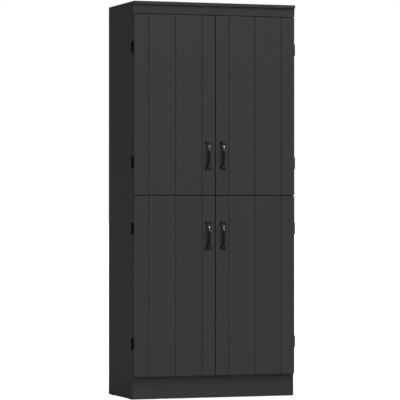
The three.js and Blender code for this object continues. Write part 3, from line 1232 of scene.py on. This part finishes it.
# ------------------------------------------------------------------ pulls
@dataclass
class ArchedPull:
    """A cast pull: a flat grip on two curved necks that flare into screwed feet."""

    row: Row
    side: Side
    grip_half_width: float = 7.25 * MM
    grip_end: float = 22 * MM
    neck_half_width: float = 3.9 * MM
    neck_place: float = 32 * MM
    foot_end: float = 50 * MM
    leg_sweep: float = 1.4
    flare_sweep: float = 1.1
    foot_corner: float = 5 * MM
    foot_thickness: float = 4 * MM
    foot_end_round: float = 1.2 * MM
    strap: float = 4.5 * MM
    edge_share: float = 0.35
    front_roundness: float = 0.78
    back_roundness: float = 0.3
    stations: int = 36
    ring_points: int = 28
    corner_steps: int = 10
    screw_place: float = 52 * MM
    screw_radius: float = 3.6 * MM
    screw_height: float = 1.5 * MM
    screw_sink: float = 0.3 * MM

    def __post_init__(self) -> None:
        """Reads the pull's box."""
        self.node = f"handle_{self.row.value}_{self.side.word}"
        self.low, self.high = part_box(self.node)
        self.centre = (self.low + self.high) / 2
        self.half_length = (self.high.z - self.low.z) / 2
        self.foot_half_width = (self.high.x - self.low.x) / 2
        self.reach = self.high.y - self.low.y
        self.body = f"door_{self.row.value}_{self.side.word}_body"

    def half_width(self, place: float) -> float:
        """Returns half the pull's width at a distance from its middle."""
        if place <= self.neck_place:
            share = smooth_step((place - self.grip_end) / (self.neck_place - self.grip_end))
            return self.grip_half_width + share * (self.neck_half_width - self.grip_half_width)
        shoulder = self.half_length - self.foot_corner
        if place <= shoulder:
            share = (place - self.neck_place) / (shoulder - self.neck_place)
            growth = self.foot_half_width - self.neck_half_width
            return self.neck_half_width + share**self.flare_sweep * growth
        turn = (place - shoulder) / self.foot_corner
        return self.foot_half_width - self.foot_corner * (1 - math.sqrt(max(0.0, 1 - turn**2)))

    def leg(self, place: float) -> float:
        """Returns the share of its full rise that the pull has at a distance from its middle."""
        along = (self.foot_end - place) / (self.foot_end - self.grip_end)
        return min(1.0, max(0.0, along)) ** self.leg_sweep

    def under(self, place: float) -> float:
        """Returns how far the underside stands off the door."""
        return (self.reach - self.strap) * self.leg(place)

    def over(self, place: float) -> float:
        """Returns how far the crown stands off the door."""
        crest = self.foot_thickness + (self.reach - self.foot_thickness) * self.leg(place)
        turn = max(0.0, (place - self.half_length) / self.foot_end_round + 1)
        return crest - self.foot_end_round * (1 - math.sqrt(max(0.0, 1 - turn**2)))

    def ring(self, height: float) -> list[Vector]:
        """Returns the outline of the cross-section at a height from the middle."""
        place = abs(height)
        half, under, over = self.half_width(place), self.under(place), self.over(place)
        edge = under + self.edge_share * (over - under)
        points = []
        for index in range(self.ring_points):
            angle = 2 * math.pi * index / self.ring_points
            across, out = math.cos(angle), math.sin(angle)
            power = self.front_roundness if out > 0 else self.back_roundness
            depth = (over - edge if out > 0 else edge - under) * abs(out) ** power
            x = self.centre.x + half * math.copysign(abs(across) ** power, across)
            y = self.high.y - edge - math.copysign(depth, out)
            points.append(Vector((x, y, self.centre.z + height)))
        return points

    def shape(self) -> Solid:
        """Skins the cross-sections from the lower foot to the upper one."""
        shoulder = self.half_length - self.foot_corner
        plain = [shoulder * index / self.stations for index in range(self.stations + 1)]
        turns = [QUARTER * index / self.corner_steps for index in range(1, self.corner_steps + 1)]
        upper = plain[1:] + [shoulder + self.foot_corner * math.sin(turn) for turn in turns]
        heights = [-place for place in reversed(upper)] + [0.0] + upper
        return lofted([self.ring(height) for height in heights])

    def dress(self, shop: Workshop) -> Piece:
        """Builds and finishes the pull and its two screws, and returns the pull."""
        name = f"pull_{self.row.value}_{self.side.word}"
        pull = set_down(name, self.shape(), PULL_ENAMEL, self.body, [self.node])
        front = self.high.y - self.over(self.screw_place) + self.screw_sink
        places = [
            (Vector((self.centre.x, front, self.centre.z + end * self.screw_place)), OUT_FRONT)
            for end in (-1, 1)
        ]
        name = f"pull_screws_{self.row.value}_{self.side.word}"
        size = (self.screw_radius, self.screw_height)
        shop.fit(name, places, Head.DOMED, size, SCREW_ENAMEL, self.body)
        return pull


# ------------------------------------------------------------------ doors
@dataclass
class GroovedDoor:
    """A door that is cut into boards by V-grooves, with a strike plate on its back."""

    row: Row
    side: Side
    front_zone: float = 1 * MM
    front_radius: float = 2.5 * MM
    front_steps: int = 6
    back_arris: float = 0.5 * MM
    first_board: float = 64 * MM
    board_pitch: float = 129.5 * MM
    groove_count: int = 3
    groove_width: float = 5 * MM
    groove_depth: float = 2.4 * MM
    lip_radius: float = 0.9 * MM
    lip_steps: int = 3
    overrun: float = 5 * MM
    plate_corner: float = 2 * MM
    plate_corner_steps: int = 4
    plate_arris: float = 0.15 * MM
    plate_screw_radius: float = 2.8 * MM
    plate_screw_height: float = 0.08 * MM

    def __post_init__(self) -> None:
        """Reads the door's box."""
        self.key = f"{self.row.value}_{self.side.word}"
        self.low, self.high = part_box(f"door_{self.key}")
        self.body = f"door_{self.key}_body"

    def cutter(self) -> Piece:
        """Makes the groove's cutter: a V with rolled lips, whose local origin is on the door's front."""
        half, depth, lip = self.groove_width / 2, self.groove_depth, self.lip_radius
        slope = math.atan2(depth, half)
        tangent = lip * math.tan(slope / 2)
        wall = []
        for index in range(self.lip_steps + 1):
            turn = slope * index / self.lip_steps
            wall.append((-half - tangent + lip * math.sin(turn), lip * (1 - math.cos(turn))))
        outline = [(-half - tangent, -self.overrun), *wall, (0, depth)]
        outline += [(-x, y) for x, y in reversed(outline[:-1])]
        length = self.high.z - self.low.z + 2 * self.overrun
        solid = prism(outline, length, Matrix.Translation((0, 0, -self.overrun)))
        return bpy.data.objects.new("groove_cutter", as_mesh("groove_cutter", solid))

    def slab(self) -> Solid:
        """Makes the plain door with round front edges and eased back edges."""
        solid = board(self.low, self.high, 0.0)
        front = self.low.y + self.front_zone

        def on_front(edge: bmesh.types.BMEdge) -> bool:
            """Says whether an edge lies on the door's front."""
            return all(corner.co.y < front for corner in edge.verts)

        ease(solid, self.front_radius, self.front_steps, on_front)
        ease(solid, self.back_arris, 2)
        return solid

    def grooved(self, shop: Workshop) -> Mesh:
        """Sends the slab through the grooving tree and returns the result."""
        mesh = as_mesh(f"door_{self.key}", self.slab())
        cutter = self.cutter()
        free_edge = self.high.x if self.side is Side.LEFT else self.low.x
        values = {
            "Cutter": cutter,
            "First Groove": free_edge + self.side.value * self.first_board,
            "Board Pitch": self.side.value * self.board_pitch,
            "Groove Count": self.groove_count,
            "Front": self.low.y,
            "Bottom": self.low.z,
            "Finish": DOOR_PAINT.material(),
        }
        result = shop.grooves.run(mesh, values)
        bpy.data.objects.remove(cutter)
        return result

    def strike_plate(self) -> Solid:
        """Makes the steel plate that the catch holds, with round corners."""
        low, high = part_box(f"strike_plate_{self.key}")
        corner = self.plate_corner
        left, right = corner, high.x - low.x - corner
        bottom, top = corner, high.z - low.z - corner
        centres = ((left, bottom), (right, bottom), (right, top), (left, top))
        outline = []
        for turn, centre in enumerate(centres, start=-2):
            outline += arc(centre, corner, turn, 1, self.plate_corner_steps)
        solid = prism(outline, high.y - low.y, axes(ALONG, UP, OUT_BACK, low))
        ease(solid, self.plate_arris, 1)
        return solid

    def dress(self, shop: Workshop) -> None:
        """Builds and finishes the door's boards and its strike plate."""
        set_down(f"door_boards_{self.key}", self.grooved(shop), DOOR_PAINT, self.body, [f"door_{self.key}"])
        node = f"strike_plate_{self.key}"
        set_down(node + "_steel", self.strike_plate(), ZINC, self.body, [node])
        low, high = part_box(node)
        places = [(Vector(((low.x + high.x) / 2, high.y, (low.z + high.z) / 2)), OUT_BACK)]
        size = (self.plate_screw_radius, self.plate_screw_height)
        shop.fit(f"strike_screw_{self.key}", places, Head.FLUSH, size, ZINC, self.body)


# ------------------------------------------------------------------ studio
@dataclass
class Studio:
    """The floor, the lights and the camera."""

    floor_half: float = 400.0
    floor_cells: int = 8
    floor_colour: float = 0.56
    floor_lift: float = 0.75
    ambient: float = 0.19
    camera_place: tuple[float, float, float] = (-3.746, -10.806, 0.862)
    camera_tilt: float = 90.285
    camera_turn: float = -19.068
    camera_lens: float = 219.0
    camera_sensor: float = 36.0
    camera_range: float = 200.0
    key_towards: tuple[float, float, float] = (0.35, -0.55, 0.75)
    key_width: float = 60.0
    key_strength: float = 1.8
    ceiling_towards: tuple[float, float, float] = (-0.14, -0.2, 1.0)
    ceiling_width: float = 50.0
    ceiling_strength: float = 1.6
    overhead_place: tuple[float, float, float] = (0.3, -2.6, 4.4)
    overhead_target: tuple[float, float, float] = (0, 0, 1.2)
    overhead_size: float = 2.4
    overhead_power: float = 32.0
    glint_target: tuple[float, float, float] = (0, -0.2, 0.98)
    glint_towards: tuple[float, float, float] = (0.73, -0.25, 0.63)
    glint_distance: float = 3.0
    glint_size: float = 0.12
    glint_power: float = 420.0

    def floor(self) -> None:
        """Lays a plain pale floor."""
        solid = bmesh.new()
        cells = self.floor_cells
        bmesh.ops.create_grid(solid, x_segments=cells, y_segments=cells, size=self.floor_half)
        mesh = as_mesh("studio_floor", solid)
        material = bpy.data.materials.new("pale_floor")
        material.use_nodes = True
        material.node_tree.nodes.clear()
        sheet = NodeSheet(material.node_tree)
        pale = (*[self.floor_colour] * 3, 1.0)
        matte = sheet.node("ShaderNodeBsdfDiffuse", {"Color": pale})
        seen = sheet.node("ShaderNodeLightPath").outputs["Is Camera Ray"]
        lift = sheet.maths("MULTIPLY", seen, self.floor_lift)
        glow = sheet.node("ShaderNodeEmission", {"Strength": lift})
        both = sheet.node("ShaderNodeAddShader", {0: matte.outputs[0], 1: glow.outputs[0]})
        sheet.node("ShaderNodeOutputMaterial", {"Surface": both.outputs[0]})
        mesh.materials.append(material)
        floor = linked("studio_floor", mesh)

    def sky(self) -> None:
        """Makes a white background that lights the room more softly than it shows."""
        world = bpy.data.worlds.new("studio")
        bpy.context.scene.world = world
        world.use_nodes = True
        world.node_tree.nodes.clear()
        sheet = NodeSheet(world.node_tree)
        path = sheet.node("ShaderNodeLightPath").outputs["Is Camera Ray"]
        white = (1.0, 1.0, 1.0, 1.0)
        soft = sheet.node("ShaderNodeBackground", {"Color": white, "Strength": self.ambient})
        seen = sheet.node("ShaderNodeBackground", {"Color": white, "Strength": 1.0})
        mixed = sheet.node("ShaderNodeMixShader", {0: path, 1: soft.outputs[0], 2: seen.outputs[0]})
        sheet.node("ShaderNodeOutputWorld", {"Surface": mixed.outputs[0]})

    @staticmethod
    def lamp(name: str, towards: Vector, width: float, strength: float) -> None:
        """Hangs a far, soft light that is equally bright everywhere.

        Args:
            name: The light's name.
            towards: The direction of the light from the cabinet.
            width: How wide it looks, in degrees.
            strength: Its strength in watts a square metre.
        """
        light = bpy.data.lights.new(name, "SUN")
        light.angle = math.radians(width)
        light.energy = strength
        linked(name, light).rotation_euler = towards.to_track_quat("Z", "Y").to_euler()

    @staticmethod
    def softbox(name: str, place: Vector, target: Vector, size: float, power: float) -> Piece:
        """Hangs a square soft light.

        Args:
            name: The light's name.
            place: Where it hangs.
            target: What it points at.
            size: The length of its side.
            power: Its power in watts.

        Returns:
            The light.
        """
        light = bpy.data.lights.new(name, "AREA")
        light.shape = "SQUARE"
        light.size = size
        light.energy = power
        box = linked(name, light)
        box.location = place
        box.rotation_euler = (place - target).to_track_quat("Z", "Y").to_euler()
        return box

    def glint(self, pulls: Sequence[Piece]) -> None:
        """Hangs a small light that only the pulls catch."""
        target = Vector(self.glint_target)
        place = target + self.glint_distance * Vector(self.glint_towards)
        light = self.softbox("glint", place, target, self.glint_size, self.glint_power)
        catchers = bpy.data.collections.new("glint_catchers")
        for pull in pulls:
            catchers.objects.link(pull)
        light.light_linking.receiver_collection = catchers

    def camera(self) -> None:
        """Stands the camera in the viewing place."""
        lens = bpy.data.cameras.new("camera")
        lens.lens = self.camera_lens
        lens.sensor_width = self.camera_sensor
        lens.clip_end = self.camera_range
        camera = linked("camera", lens)
        camera.location = self.camera_place
        camera.rotation_euler = (math.radians(self.camera_tilt), 0, math.radians(self.camera_turn))
        bpy.context.scene.camera = camera

    def dress(self) -> None:
        """Sets up the whole studio."""
        self.floor()
        self.sky()
        self.lamp("key", Vector(self.key_towards), self.key_width, self.key_strength)
        self.lamp("ceiling", Vector(self.ceiling_towards), self.ceiling_width, self.ceiling_strength)
        place, target = Vector(self.overhead_place), Vector(self.overhead_target)
        self.softbox("overhead", place, target, self.overhead_size, self.overhead_power)
        self.camera()
        bpy.context.scene.view_settings.view_transform = "Standard"


def main() -> None:
    """Builds the cabinet piece by piece."""
    logging.basicConfig(level=logging.INFO, format="%(message)s")
    studio = Studio()
    studio.dress()
    shop = Workshop()
    pulls = []
    Carcass().dress(shop)
    FloorGlides().dress()
    for side in Side:
        WallBracket(side).dress(shop)
    for row in Row:
        MagneticCatch(row).dress(shop)
        for side in Side:
            GroovedDoor(row, side).dress(shop)
            pulls.append(ArchedPull(row, side).dress(shop))
            for place in HingePlace:
                ButtHinge(row, side, place).dress(shop)
    studio.glint(pulls)


if __name__ == "__main__":
    main()
